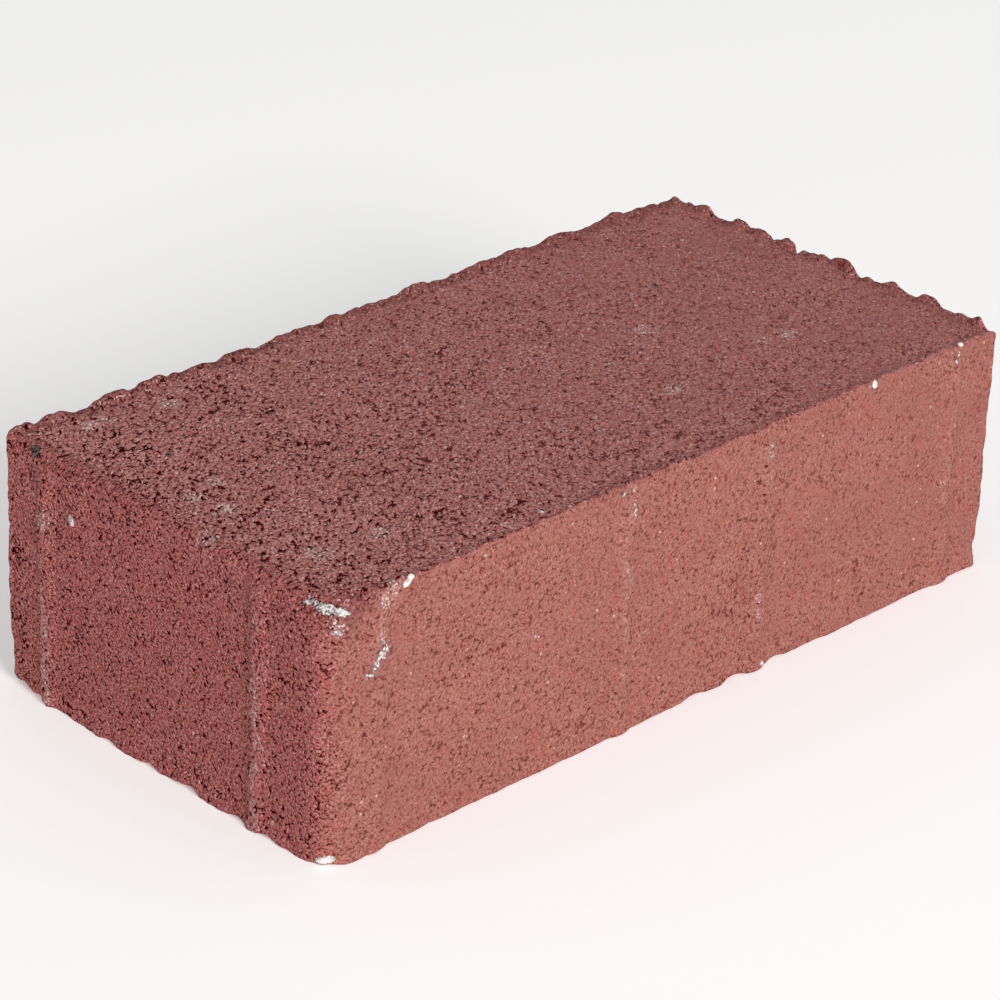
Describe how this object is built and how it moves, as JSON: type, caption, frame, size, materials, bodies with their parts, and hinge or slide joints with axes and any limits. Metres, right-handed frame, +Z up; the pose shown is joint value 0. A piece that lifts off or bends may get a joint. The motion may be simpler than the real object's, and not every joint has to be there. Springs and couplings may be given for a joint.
{
  "type": "concrete paving stone",
  "caption": "Rectangular red concrete paving stone with slightly rounded upright corners, a thin rim round its top face and low spacer nibs on its sides.",
  "frame": {"origin": "middle of the flat bed face, on the floor that the stone lies on", "axes": "+X along the length, +Y along the width, +Z up out of the wearing face"},
  "size_m": [0.2016, 0.1016, 0.06],
  "materials": {
    "red_concrete": "rough, open-grained pressed concrete"
  },
  "bodies": {
    "root": {"paving_stone": "red_concrete"}
  },
  "joints": []
}
